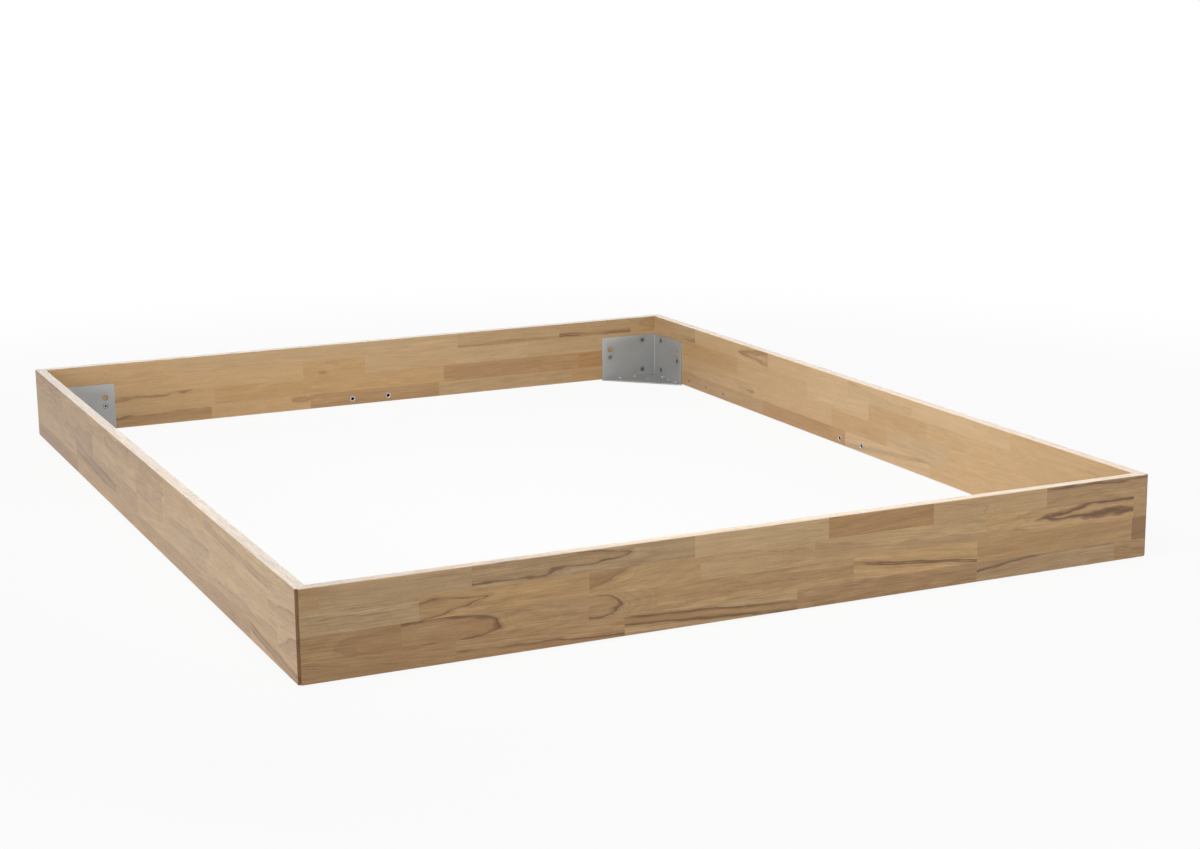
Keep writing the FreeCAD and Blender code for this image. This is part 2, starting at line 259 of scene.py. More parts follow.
# The heart figure, in stave widths: its ragged edge and darker rim, and the width, gaps and faint
# neighbours of its border line.
RAGGED = Cloud((60, 14, 14), 3.0, 0.25)
HEART_EDGE = (0.02, -0.1)
HEART_RIM = (-0.8, 0.0, 0.35, 1.0)
HEART_MOTTLE = 2.0
LINE_WIDTH = 0.03
LEAST_LINE = 0.014
LEAST_SPREAD = 0.001
LINE_SWELL = Cloud((50, 18, 18), 2.0, 0.08)
LINE_OUTSIDE = (0.9, -0.5)
LINE_INSIDE = (-6.0, -1.0)
LINE_GAPS = Cloud((70, 20, 20), 2.0)
LINE_GAPS_RANGE = (-0.2, 0.02, 0.15, 1.0)
LINE_STREAK = 1.6
DARKEST_LINE = 0.9
RING_CREST = (0.3, 1.0)
RING_FADE = (0.6, 0.1)
RING_STRENGTH = 0.28

# The wood's flecks, ends and relief.
FLECK_DETAIL = 1.0
FLECK_CUT = (0.05, 0.24)
FLECK_STRENGTH = 0.3
FLECK_ROUGHNESS = 0.12
STREAK_ROUGHNESS = 0.2
END_DARKNESS = 0.7
WOOD_RELIEF = 0.08 * MM
WOOD_BUMP = 0.25

# The coat's pebbles and clouds, and the zinc's crystals, which are drawn coarse so that they show.
PEBBLE = Cloud((1.4, 1.4, 1.4), 1.0)
PEBBLE_RELIEF = 0.06 * MM
PEBBLE_BUMP = 0.15
COAT_CLOUD = Cloud((38, 38, 38), 3.0)
COAT_SHADE = 0.8
COAT_MIDDLE = 0.6
COAT_METAL = 0.35
COAT_UNEVENNESS = 0.2
CRYSTAL_SIZE = 1.2 * MM
CRYSTAL_SHADE = 0.72
ZINC_ROUGHNESS = 0.3
CRYSTAL_ROUGHNESS = 0.14


def fill_inputs(tree, node, inputs):
    """Links a node's inputs to other nodes, or sets them to plain values, by place or by name."""
    for place, source in inputs.items():
        if isinstance(source, bpy.types.Node):
            source = source.outputs[0]
        if isinstance(source, bpy.types.NodeSocket):
            tree.links.new(source, node.inputs[place])
        else:
            node.inputs[place].default_value = source


def add_node(tree, kind, *sources, links=None, **settings):
    """A new shader node. sources fill its inputs in order and links fill them by name."""
    node = tree.nodes.new("ShaderNode" + kind)
    for name, value in settings.items():
        setattr(node, name, value)
    fill_inputs(tree, node, dict(enumerate(sources)))
    fill_inputs(tree, node, links or {})
    return node


def new_material(name):
    """An empty node material with its Principled shader, as (material, tree, shader)."""
    material = bpy.data.materials.new(name)
    material.use_nodes = True
    tree = material.node_tree
    shader = next(node for node in tree.nodes if node.type == "BSDF_PRINCIPLED")
    return material, tree, shader


def clouds(tree, place, cloud, base=0.0):
    """The values of a cloudy pattern, weighted, about a base."""
    scales = tuple(1 / (size * MM) for size in cloud.sizes)
    spot = add_node(tree, "VectorMath", place, scales, operation="MULTIPLY")
    noise = add_node(tree, "TexNoise", links={"Vector": spot, "Scale": 1.0, "Detail": cloud.detail})
    level = add_node(tree, "Math", noise, 0.5, operation="SUBTRACT")
    return add_node(tree, "Math", level, cloud.weight, base, operation="MULTIPLY_ADD")


def growth_value(tree, share, place, waver, width):
    """How a stave grew at a spot, as the value of its conic and as the distance outside its heart
    figure in stave widths. Both are below zero in heartwood and are bent by slow drifts."""
    line, bend = [
        add_node(tree, "Attribute", attribute_name=name).outputs["Vector"] for name in GROWTH_MARKS]
    drift = clouds(tree, place, DRIFT)
    drift = add_node(tree, "Math", drift, share.outputs["Z"], operation="DIVIDE")
    along = add_node(tree, "Math", drift, share.outputs["X"], operation="ADD")
    sway = clouds(tree, place, WOBBLE, clouds(tree, place, SWAY))
    across = add_node(tree, "Math", sway, waver, share.outputs["Y"], operation="MULTIPLY_ADD")

    ones = add_node(tree, "CombineXYZ", 1.0, along, across)
    first = add_node(tree, "CombineXYZ", along, across, along)
    second = add_node(tree, "CombineXYZ", along, across, across)
    squares = add_node(tree, "VectorMath", first, second, operation="MULTIPLY")
    value = add_node(tree, "VectorMath", line, ones, operation="DOT_PRODUCT").outputs["Value"]
    curve = add_node(tree, "VectorMath", bend, squares, operation="DOT_PRODUCT").outputs["Value"]
    value = add_node(tree, "Math", value, curve, operation="ADD")

    # The conic's gradient, in stave widths, turns its value into a distance.
    parts = add_node(tree, "SeparateXYZ", line).outputs
    climb = add_node(tree, "CombineXYZ", parts["Y"], parts["Z"], 0.0)
    double = add_node(tree, "VectorMath", bend, (2.0, 2.0, 0.0), operation="MULTIPLY")
    climb = add_node(tree, "VectorMath", double, first, climb, operation="MULTIPLY_ADD")
    swapped = add_node(tree, "CombineXYZ", across, along, 0.0)
    twist = add_node(tree, "SeparateXYZ", bend).outputs["Z"]
    climb = add_node(tree, "VectorMath", swapped, twist, climb, operation="MULTIPLY_ADD")
    narrow = add_node(tree, "Math", width, share.outputs["Z"], operation="DIVIDE")
    squeeze = add_node(tree, "CombineXYZ", narrow, 1.0, 0.0)
    climb = add_node(tree, "VectorMath", climb, squeeze, operation="MULTIPLY")
    steep = add_node(tree, "VectorMath", climb, operation="LENGTH").outputs["Value"]
    steep = add_node(tree, "Math", steep, LEAST_CLIMB, operation="MAXIMUM")
    return value, add_node(tree, "Math", value, steep, operation="DIVIDE")


def ring_flow(tree, looks, place, growth):
    """Where a spot lies along its stave and up its growth value, for patterns along the rings."""
    run = add_node(tree, "SeparateXYZ", place).outputs
    height = add_node(tree, "Math", growth, looks.stave_width, operation="MULTIPLY")
    return add_node(tree, "CombineXYZ", run["X"], height, run["Z"])


def grain_tone(tree, place, streak, strength, tone):
    """The stave's tone with its grain, from brown at zero to pale at one."""
    grain = add_node(tree, "Math", streak, STREAK_WEIGHT, operation="MULTIPLY")
    for layer in GRAIN:
        grain = clouds(tree, place, layer, grain)
    lively = add_node(tree, "MapRange", clouds(tree, place, LIVELY), *LIVELY_RANGE)
    strength = add_node(tree, "Math", strength, lively, operation="MULTIPLY")
    tone = add_node(tree, "Math", grain, strength, tone, operation="MULTIPLY_ADD")
    return add_node(tree, "Math", tone, TONE_STEP, MIDDLE_TONE, operation="MULTIPLY_ADD")


def heart_share(tree, place, distance, streak, fill):
    """How much heartwood shows: most at the rim of a heart figure, with a ragged edge."""
    edge = clouds(tree, place, RAGGED, distance)
    inside = add_node(tree, "MapRange", edge, *HEART_EDGE, interpolation_type="SMOOTHSTEP")
    depth = add_node(tree, "MapRange", distance, *HEART_RIM)
    mottle = add_node(tree, "Math", streak, HEART_MOTTLE, depth, operation="MULTIPLY_ADD")
    fill = add_node(tree, "Math", fill, mottle, operation="MULTIPLY")
    return add_node(tree, "Math", inside, fill, operation="MULTIPLY")


def border_share(tree, looks, place, distance, streak, line):
    """How dark a heart figure's border is: a line of uneven width that fades inwards and goes
    missing in places, with fainter rings beside it."""
    width = clouds(tree, place, LINE_SWELL, LINE_WIDTH)
    width = add_node(tree, "Math", width, LEAST_LINE, operation="MAXIMUM")
    width = add_node(tree, "Math", width, line, operation="MULTIPLY")
    spread = add_node(tree, "Math", width, LEAST_SPREAD, operation="ADD")
    offset = add_node(tree, "Math", distance, spread, operation="DIVIDE")
    outer = add_node(tree, "MapRange", offset, *LINE_OUTSIDE, interpolation_type="SMOOTHSTEP")
    inner = add_node(tree, "MapRange", offset, *LINE_INSIDE, interpolation_type="SMOOTHERSTEP")
    border = add_node(tree, "Math", outer, inner, operation="MULTIPLY")

    broken = add_node(tree, "MapRange", clouds(tree, place, LINE_GAPS), *LINE_GAPS_RANGE)
    grainy = add_node(tree, "Math", streak, LINE_STREAK, broken, operation="MULTIPLY_ADD")
    darkness = add_node(tree, "Math", line, grainy, operation="MULTIPLY")
    darkness = add_node(tree, "Math", darkness, DARKEST_LINE, operation="MINIMUM")
    border = add_node(tree, "Math", border, darkness, operation="MULTIPLY")

    turns = FULL_TURN * looks.stave_width / looks.ring_spacing
    ring = add_node(tree, "Math", distance, turns, operation="MULTIPLY")
    ring = add_node(tree, "Math", ring, operation="SINE")
    ring = add_node(tree, "MapRange", ring, *RING_CREST)
    near = add_node(tree, "Math", distance, operation="ABSOLUTE")
    near = add_node(tree, "MapRange", near, *RING_FADE)
    ring = add_node(tree, "Math", ring, near, operation="MULTIPLY")
    ring = add_node(tree, "Math", ring, darkness, operation="MULTIPLY")
    return add_node(tree, "Math", ring, RING_STRENGTH, border, operation="MULTIPLY_ADD")


def heart_beech(looks):
    """Oiled heart beech, planed and sanded: soft streaks that follow the rings, fine ray flecks,
    and brown heart figures with a dark border."""
    material, tree, shader = new_material("oiled_heart_beech")
    place, share = [
        add_node(tree, "Attribute", attribute_name=name).outputs["Vector"] for name in PLACE_MARKS]
    share = add_node(tree, "SeparateXYZ", share)
    tone, hue, fill, line, end_grain, bored, strength, waver = [
        add_node(tree, "Attribute", attribute_name=name).outputs["Fac"] for name in STAVE_MARKS]
    growth, distance = growth_value(tree, share, place, waver, looks.stave_width)
    flow = ring_flow(tree, looks, place, growth)
    streak_sizes = (STREAK_LENGTH, looks.ring_spacing / MM, STREAK_THROUGH)
    streak = clouds(tree, flow, Cloud(streak_sizes, STREAK_DETAIL))

    tone = grain_tone(tree, place, streak, strength, tone)
    colour = add_node(tree, "MixRGB", tone, (*looks.brown, 1), (*looks.pale, 1))
    fill = heart_share(tree, place, distance, streak, fill)
    colour = add_node(tree, "MixRGB", fill, colour, (*looks.heart, 1))
    border = border_share(tree, looks, place, distance, streak, line)
    colour = add_node(tree, "MixRGB", border, colour, (*looks.border, 1))
    hue = clouds(tree, flow, TINT, hue)
    hue = add_node(tree, "VectorMath", hue, HUE_STEP, (1.0, 1.0, 1.0), operation="MULTIPLY_ADD")
    colour = add_node(tree, "VectorMath", colour, hue, operation="MULTIPLY")

    # Ray flecks are drawn about twice their real size, so that they show from a step away.
    fleck_sizes = (looks.fleck_length / MM, looks.fleck_width / MM, looks.fleck_width / MM)
    fleck = clouds(tree, place, Cloud(fleck_sizes, FLECK_DETAIL))
    fleck = add_node(tree, "MapRange", fleck, *FLECK_CUT, interpolation_type="SMOOTHSTEP")
    for mark, weight in ((fleck, FLECK_STRENGTH), (end_grain, END_DARKNESS)):
        amount = add_node(tree, "Math", mark, weight, operation="MULTIPLY")
        colour = add_node(tree, "MixRGB", amount, colour, (*looks.border, 1))
    # Painted shade: the faces inside the drilled holes take the near black colour.
    colour = add_node(tree, "MixRGB", bored, colour, (*looks.bore_shade, 1))
    roughness = looks.roughness
    for mark, weight in ((fleck, FLECK_ROUGHNESS), (streak, STREAK_ROUGHNESS)):
        roughness = add_node(tree, "Math", mark, weight, roughness, operation="MULTIPLY_ADD")
    relief = add_node(tree, "Math", streak, fleck, operation="SUBTRACT")
    bump = add_node(
        tree, "Bump", links={"Strength": WOOD_BUMP, "Distance": WOOD_RELIEF, "Height": relief})
    fill_inputs(tree, shader, {
        "Base Color": colour, "Roughness": roughness, "Normal": bump,
        "Specular IOR Level": looks.gloss, "Coat Weight": looks.oil,
        "Coat Roughness": looks.oil_roughness})
    return material


def coated_steel(looks):
    """Bent sheet steel with a baked silver grey coat: satin, faintly pebbled, a little uneven, and
    painted paler on the welds as a painted highlight."""
    material, tree, shader = new_material("silver_coated_steel")
    place = add_node(tree, "TexCoord").outputs["Object"]
    cloud = clouds(tree, place, COAT_CLOUD)
    dark = tuple(part * COAT_SHADE for part in looks.coat)
    share = add_node(tree, "Math", cloud, COAT_MIDDLE, operation="ADD")
    colour = add_node(tree, "MixRGB", share, (*dark, 1), (*looks.coat, 1))
    # Painted highlight: the weld beads take the paler colour.
    weld = add_node(tree, "Attribute", attribute_name=WELD_MARK).outputs["Fac"]
    colour = add_node(tree, "MixRGB", weld, colour, (*looks.weld, 1))
    roughness = add_node(
        tree, "Math", cloud, COAT_UNEVENNESS, looks.coat_roughness, operation="MULTIPLY_ADD")
    pebble = clouds(tree, place, PEBBLE)
    bump = add_node(
        tree, "Bump", links={"Strength": PEBBLE_BUMP, "Distance": PEBBLE_RELIEF, "Height": pebble})
    fill_inputs(tree, shader, {
        "Base Color": colour, "Roughness": roughness, "Normal": bump, "Metallic": COAT_METAL})
    return material


def zinc_plate(looks):
    """Zinc plated steel: a bright grey metal with a faint crystal mottle, and a dark colour painted
    into its recesses as painted shade."""
    material, tree, shader = new_material("bright_zinc_plate")
    place = add_node(tree, "TexCoord").outputs["Object"]
    crystals = add_node(tree, "TexVoronoi", links={"Vector": place, "Scale": 1 / CRYSTAL_SIZE})
    shade = add_node(tree, "RGBToBW", crystals.outputs["Color"])
    dark = tuple(part * CRYSTAL_SHADE for part in looks.zinc)
    colour = add_node(tree, "MixRGB", shade, (*dark, 1), (*looks.zinc, 1))
    # Painted shade: the marked recesses are mixed towards the dark colour.
    recess_shade = add_node(tree, "Attribute", attribute_name=RECESS_SHADE_MARK).outputs["Fac"]
    colour = add_node(tree, "MixRGB", recess_shade, colour, (*looks.oil, 1))
    roughness = add_node(
        tree, "Math", shade, CRYSTAL_ROUGHNESS, ZINC_ROUGHNESS, operation="MULTIPLY_ADD")
    fill_inputs(tree, shader, {"Base Color": colour, "Roughness": roughness, "Metallic": 1.0})
    return material


def seen_directly(tree, shine):
    """One where the camera or a refraction looks at a surface, shine where a reflection does, and
    else zero."""
    ray = add_node(tree, "LightPath").outputs
    mirrored = add_node(tree, "Math", ray["Is Glossy Ray"], shine, operation="MULTIPLY")
    seen = add_node(tree, "Math", ray["Is Camera Ray"], mirrored, operation="MAXIMUM")
    return add_node(tree, "Math", seen, ray["Is Transmission Ray"], operation="MAXIMUM")


# Growth figures, each a conic over a stave: f = a + bu + cv + du2 + ev2 + guv, as line (a, b, c)
# and bend (d, e, g). u runs along the stave and v up it, from -0.5 to 0.5, and the heart is where
# f is below zero. The fibres climb by slope stave widths over the stave's length, and waver is how
# far the figure strays from its conic.

Growth = namedtuple("Growth", "line bend slope waver")


def straight(slope=0.0):
    """Even grain without a heart."""
    return Growth((1.0, -slope, 1.0), (0.0, 0.0, 0.0), slope, 1.0)


def below(at, slope=0.0, bow=0.0):
    """Heart below a line at height at, climbing by slope and bowed."""
    return Growth((-at, -slope, 1.0), (-bow, 0.0, 0.0), slope, 0.7)


def above(at, slope=0.0, bow=0.0):
    """Heart above a line at height at, climbing by slope and bowed."""
    return Growth((at, slope, -1.0), (bow, 0.0, 0.0), slope, 0.7)


def band(at, slope, half):
    """Heart between two parallel lines, half a band to either side of height at."""
    scale = 1 / (2 * half)
    line = ((at * at - half * half) * scale, 2 * at * slope * scale, -2 * at * scale)
    return Growth(line, (slope * slope * scale, scale, -2 * slope * scale), slope, 0.35)


def loop(at_along, at_across, reach_along, reach_across):
    """Heart inside an oval."""
    scale = reach_across / 2
    along = scale / reach_along ** 2
    across = scale / reach_across ** 2
    offset = along * at_along ** 2 + across * at_across ** 2 - scale
    line = (offset, -2 * along * at_along, -2 * across * at_across)
    return Growth(line, (along, across, 0.0), 0.0, 1.0)


def arch(tip, at_across, opening, lean=0.0):
    """Heart inside an arch whose tip points along the stave; a negative opening turns it round."""
    base = lean * tip - at_across
    line = (2 * base ** 2 - tip * opening, opening - 4 * base * lean, 4 * base)
    return Growth(line, (2 * lean ** 2, 2.0, -4 * lean), 0.0, 1.0)


# The shades that the staves come in: tone, from dark to pale, and hue, from orange to grey.

Shade = namedtuple("Shade", "tone hue")

CREAM = Shade(0.9, 0.9)
STRAW = Shade(0.7, -1.2)
FAIR = Shade(0.5, -0.1)
SAND = Shade(0.3, 1.2)
HONEY = Shade(0.0, -1.0)
DRAB = Shade(-0.2, 1.2)
TAN = Shade(-0.4, -0.4)
BROWN = Shade(-0.8, 0.0)
RUSSET = Shade(-0.9, -2.0)
UMBER = Shade(-2.8, 0.0)

# The staves of each board, row by row from the top: where each ends, in millimetres along the
# board, its shade and growth figure, how much heartwood fills the figure, and how strong the
# figure's border line is.

Stave = namedtuple("Stave", "end shade growth fill line", defaults=(straight(), 0.0, 0.0))

FOOT_ROWS = (
    (
        Stave(38, TAN),
        Stave(300, SAND, below(0.3, -0.1), 0.15, 0.1),
        Stave(712, DRAB, arch(0.23, 0.15, 0.85), 0.35, 0.9),
        Stave(978, CREAM, straight(0.1)),
        Stave(1197, RUSSET, band(0.1, 0.4, 0.3), 0.2),
        Stave(1445, FAIR, arch(-0.02, -0.05, 1.5), 0.12, 0.35),
        Stave(1680, TAN, above(0.36, 0.05), 0.6, 0.9),
    ),
    (
        Stave(207, SAND, below(0.12, 0.05), 0.2, 0.35),
        Stave(512, HONEY, arch(-0.11, 0.09, 0.76, 0.6), 0.25, 0.8),
        Stave(722, HONEY, above(0.61, 1.36), 0.8, 0.6),
        Stave(950, FAIR, arch(0.46, 0.0, 0.8), 0.1, 0.3),
        Stave(1310, FAIR, below(0.0, -0.5, 0.3), 0.3, 0.3),
        Stave(1645, STRAW, arch(-0.1, 0.07, -0.65, 0.27), 0.5, 3.4),
        Stave(1680, TAN),
    ),
    (
        Stave(175, BROWN, arch(-0.2, -0.1, -1.0), 0.7, 0.4),
        Stave(510, TAN, loop(-0.5, -0.05, 0.52, 0.62), 0.5, 1.0),
        Stave(640, TAN, loop(-0.5, 0.1, 0.4, 0.5), 0.25, 0.9),
        Stave(1030, TAN, straight(0.25)),
        Stave(1293, STRAW, band(-0.09, -0.62, 0.06), 0.3, 1.0),
        Stave(1643, HONEY, below(0.28, 0.2, 0.4), 0.25, 0.2),
        Stave(1680, UMBER, band(0.1, 0.1, 0.3), 0.6, 0.4),
    ),
    (
        Stave(270, BROWN, below(0.0, -0.8), 0.3, 0.4),
        Stave(577, TAN, below(-0.05, -0.35, -0.5), 0.45, 0.8),
        Stave(915, FAIR, band(-0.04, -0.54, 0.25), 0.9, 1.0),
        Stave(1293, BROWN, loop(-0.1, -0.1, 0.35, 0.55), 0.3, 0.25),
        Stave(1603, DRAB, above(0.43, 0.45, -0.82), 0.4, 0.9),
        Stave(1680, TAN, below(0.1, -0.3), 0.3, 0.5),
    ),
)

LEFT_ROWS = (
    (
        Stave(300, RUSSET, straight(0.9)),
        Stave(640, HONEY, straight(-0.4)),
        Stave(958, HONEY, arch(-0.2, -0.2, -1.0), 0.3, 0.5),
        Stave(1240, TAN, loop(0.1, 0.1, 0.3, 0.4), 0.3, 0.3),
        Stave(1530, FAIR, arch(0.2, -0.1, 1.0), 0.1, 0.25),
        Stave(1925, CREAM, band(-0.2, -0.3, 0.15), 0.4, 0.5),
        Stave(2080, SAND, straight(0.35)),
    ),
    (
        Stave(166, HONEY),
        Stave(614, TAN, arch(0.12, 0.0, -1.0), 0.55, 0.3),
        Stave(1009, FAIR, straight(0.1)),
        Stave(1222, TAN, straight(0.4)),
        Stave(1560, CREAM, below(-0.1, 0.4, -0.8), 0.4, 0.4),
        Stave(1924, CREAM, below(-0.1, -0.3), 0.15, 0.4),
        Stave(2080, CREAM, below(0.25, 0.25), 0.45, 0.5),
    ),
    (
        Stave(440, FAIR, straight(0.2)),
        Stave(825, TAN, band(-0.15, -0.5, 0.28), 0.9, 0.8),
        Stave(1014, TAN, straight(-0.3)),
        Stave(1222, FAIR, above(-0.1, 0.5), 0.2, 0.2),
        Stave(1540, SAND, straight(0.5)),
        Stave(1971, CREAM, below(-0.05, 0.25), 0.4, 0.6),
        Stave(2080, CREAM, below(-0.1, 0.9), 0.6, 0.4),
    ),
    (
        Stave(447, RUSSET, below(0.2, 0.1), 0.45, 0.3),
        Stave(858, HONEY, straight(-0.2)),
        Stave(1160, TAN, band(0.25, -0.1, 0.1), 0.3, 0.4),
        Stave(1570, BROWN, straight(0.2)),
        Stave(1810, BROWN, loop(0.0, 0.1, 0.5, 0.5), 0.3, 0.2),
        Stave(2080, FAIR, band(-0.05, -0.6, 0.2), 0.8, 0.8),
    ),
)

HEAD_ROWS = (
    (
        Stave(38, FAIR),
        Stave(310, FAIR, straight(0.3)),
        Stave(690, SAND, straight(-0.3)),
        Stave(1060, SAND, straight(0.15)),
        Stave(1350, DRAB, below(-0.3, 0.1), 0.3, 0.5),
        Stave(1560, DRAB, band(-0.33, -0.12, 0.09), 0.8, 1.0),
        Stave(1680, DRAB, loop(0.1, 0.1, 0.4, 0.4), 0.4, 0.3),
    ),
    (
        Stave(415, FAIR, straight(0.5)),
        Stave(640, FAIR, straight(-0.2)),
        Stave(805, HONEY, loop(-0.15, -0.2, 0.06, 0.08), 0.6, 0.3),
        Stave(1055, SAND, straight(-0.5)),
        Stave(1260, SAND, straight(0.2)),
        Stave(1680, SAND, arch(0.1, 0.0, 1.0), 0.1, 0.2),
    ),
    (
        Stave(410, FAIR, arch(0.42, 0.42, 0.05, 0.29), 0.7, 0.6),
        Stave(637, HONEY, straight(0.2)),
        Stave(1020, HONEY, straight(0.1)),
        Stave(1405, BROWN, loop(-0.2, 0.0, 0.4, 0.4), 0.3),
        Stave(1680, RUSSET, band(0.0, 0.4, 0.3), 0.3),
    ),
    (
        Stave(400, FAIR, below(0.2, 0.28), 0.7, 0.6),
        Stave(657, FAIR, loop(0.42, 0.3, 0.1, 0.25), 0.9, 0.3),
        Stave(1005, BROWN, below(-0.2, 0.1), 0.25, 0.3),
        Stave(1385, DRAB, straight(0.25)),
        Stave(1680, TAN, straight(-0.3)),
    ),
)

RIGHT_ROWS = (
    (
        Stave(235, SAND, arch(0.2, -0.35, -0.045), 1.0, 0.6),
        Stave(623, CREAM, arch(0.1, 0.05, -1.2), 0.95, 0.4),
        Stave(1000, CREAM, straight(0.4)),
        Stave(1270, CREAM, below(0.0, -0.4, 0.6), 0.15, 0.35),
        Stave(1640, CREAM, straight(-0.3)),
        Stave(2080, FAIR, arch(0.2, 0.0, 1.2), 0.1, 0.15),
    ),
    (
        Stave(468, HONEY, straight(0.6)),
        Stave(814, FAIR, straight(0.3)),
        Stave(1093, CREAM, straight(0.4)),
        Stave(1332, HONEY, loop(0.2, 0.0, 0.3, 0.4), 0.15),
        Stave(1590, FAIR, arch(0.1, 0.0, 1.2), 0.1, 0.2),
        Stave(2080, FAIR, arch(0.3, -0.1, 1.0), 0.1, 0.2),
    ),
    (
        Stave(554, FAIR, arch(0.42, -0.3, -0.2), 0.9, 0.6),
        Stave(930, FAIR, straight(0.2)),
        Stave(1170, HONEY, loop(0.35, -0.1, 0.3, 0.4), 0.15, 0.1),
        Stave(1419, SAND, straight(-0.2)),
        Stave(1720, FAIR, straight(0.4)),
        Stave(2080, FAIR),
    ),
    (
        Stave(315, TAN),
        Stave(600, TAN, straight(0.3)),
        Stave(992, RUSSET, straight(-0.2)),
        Stave(1348, CREAM, band(0.05, 0.75, 0.09), 0.3, 0.5),
        Stave(1700, FAIR, straight(0.3)),
        Stave(2080, FAIR),
    ),
)

# Each board: the axis that it runs along, where its rows start there and which way they run, the
# face that is shown, the rows, the painted light added to the shades of its faces and of its top,
# how strong its grain is, and the seed of its staves' patterns.
Board = namedtuple("Board", "node axis start direction shown rows cast top grain seed")

# Painted light added to the shades: none; paler and warmer on the left rail's outer faces, for how
# the light and the floor's reflection fall on that side; and a painted sheen, paler and greyer, on
# the tops of the left rail and the head board, for the light behind the bed.
PLAIN = Shade(0, 0)
PAINTED_SIDE_LIGHT = Shade(0.3, -1.2)
PAINTED_TOP_SHEEN = Shade(0.4, 3.5)
OUTER_LEFT, OUTER_FOOT, _ = cad_box[0]
HEAD_END = cad_box[1].y
INNER_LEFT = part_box("left_side_rail")[1].x
INNER_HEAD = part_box("head_board")[0].y
INNER_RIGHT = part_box("right_side_rail")[0].x

BOARDS = (
    Board("foot_board", 0, OUTER_LEFT, 1, OUTER_FOOT, FOOT_ROWS, PLAIN, PLAIN, 1.1, 11),
    Board("left_side_rail", 1, HEAD_END, -1, OUTER_LEFT, LEFT_ROWS, PAINTED_SIDE_LIGHT, PAINTED_TOP_SHEEN, 1.5, 23),
    Board("head_board", 0, INNER_LEFT, 1, INNER_HEAD, HEAD_ROWS, PLAIN, PAINTED_TOP_SHEEN, 0.6, 37),
    Board("right_side_rail", 1, INNER_HEAD, -1, INNER_RIGHT, RIGHT_ROWS, PLAIN, PLAIN, 0.55, 41),
)

# Where the rows of a board begin and end, as shares of its height.
ROW_SHARES = (1.0, 0.759, 0.497, 0.228, 0.0)


# The studio's lamps: where each hangs, what it is aimed at, how wide and high it is, and its power.
# The softboxes light the outer faces from the front and the sides, the booms light the inner faces
# from over the bed, and the strip behind the bed shines off the boards' tops.
Lamp = namedtuple("Lamp", "name place aim size watts")

LAMPS = (
    Lamp("left_softbox", (-7.3, -0.5, 1.3), (0, 0, 0.1), (3.0, 1.4), 43),
    Lamp("front_left_softbox", (-3.4, -2.8, 1.0), (-0.8, -0.6, 0.1), (1.6, 1.0), 40),
    Lamp("front_right_softbox", (1.8, -3.4, 1.0), (0.8, -1.0, 0.1), (1.6, 1.0), 18),
    Lamp("right_softbox", (6.5, 0.5, 1.4), (0, 0, 0.1), (3.0, 1.4), 45),
    Lamp("head_boom", (-0.6, -0.95, 1.7), (-0.3, 0.9, 1.0), (2.4, 1.0), 10),
    Lamp("right_boom", (-0.72, -0.6, 1.5), (0.8, -0.3, 1.0), (1.8, 0.8), 22),
    Lamp("back_strip", (3.2, 7.5, 3.2), (0, -0.8, 0.1), (9.0, 1.2), 235),
)

# The studio floor: how far it reaches, how rough its paint is, and between which distances from the
# bed's middle its shadow fades out. The last is how far the camera sees. Lengths are in metres.
FLOOR_REACH = 60
FLOOR_ROUGHNESS = 0.9
SHADOW_FADE = (1.5, 3.2)
FARTHEST_VIEW = 200


# Meshes

def merged_copy(node):
    """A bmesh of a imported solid, its loose triangles merged."""
    bm = bmesh.new()
    bm.from_mesh(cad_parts[node].data)
    bmesh.ops.remove_doubles(bm, verts=bm.verts[:], dist=MERGE_DISTANCE)
    return bm


def add_piece(bm, name, material, slot, *nodes):
    """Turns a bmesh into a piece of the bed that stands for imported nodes."""
    mesh = bpy.data.meshes.new(name)
    bm.to_mesh(mesh)
    bm.free()
    if "custom_normal" in mesh.attributes:
        mesh.attributes.remove(mesh.attributes["custom_normal"])
    mesh.materials.append(material)
    mesh.shade_smooth()
    mesh.set_sharp_from_angle(angle=SHARP_ANGLE)
    piece = bpy.data.objects.new(name, mesh)
    bpy.context.scene.collection.objects.link(piece)
    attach(piece, BODY)
    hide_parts(*nodes)


def bisect(bm, faces, point, normal):
    """Cuts some faces of a bmesh along a plane."""
    edges = {edge for face in faces for edge in face.edges}
    verts = {vert for face in faces for vert in face.verts}
    bmesh.ops.bisect_plane(
        bm, geom=[*verts, *edges, *faces], plane_co=point, plane_no=normal, dist=MERGE_DISTANCE)


def cut_into_staves(bm, board, row_tops):
    """Cuts a board's faces along its glue lines, so that each face lies on one stave."""
    for height in row_tops[1:-1]:
        bisect(bm, bm.faces[:], Vector((0, 0, height)), Vector((0, 0, 1)))
    lengthwise = Vector((0, 0, 0))
    lengthwise[board.axis] = 1
    for row, (top, bottom) in zip(board.rows, zip(row_tops, row_tops[1:])):
        for stave in row[:-1]:
            in_row = [face for face in bm.faces if bottom < face.calc_center_median().z < top]
            joint = board.start + board.direction * stave.end * MM
            bisect(bm, in_row, lengthwise * joint, lengthwise)


def is_bored(face, low, high, axis):
    """Whether a face of a board that fills a box and runs along an axis lies inside a hole."""
    centre = face.calc_center_median()
    depths = [min(centre[side] - low[side], high[side] - centre[side]) for side in range(3)]
    deep = min(depths) > HOLE_MARGIN
    return deep and not MITRE_SLANT < abs(face.normal[1 - axis]) < END_GRAIN


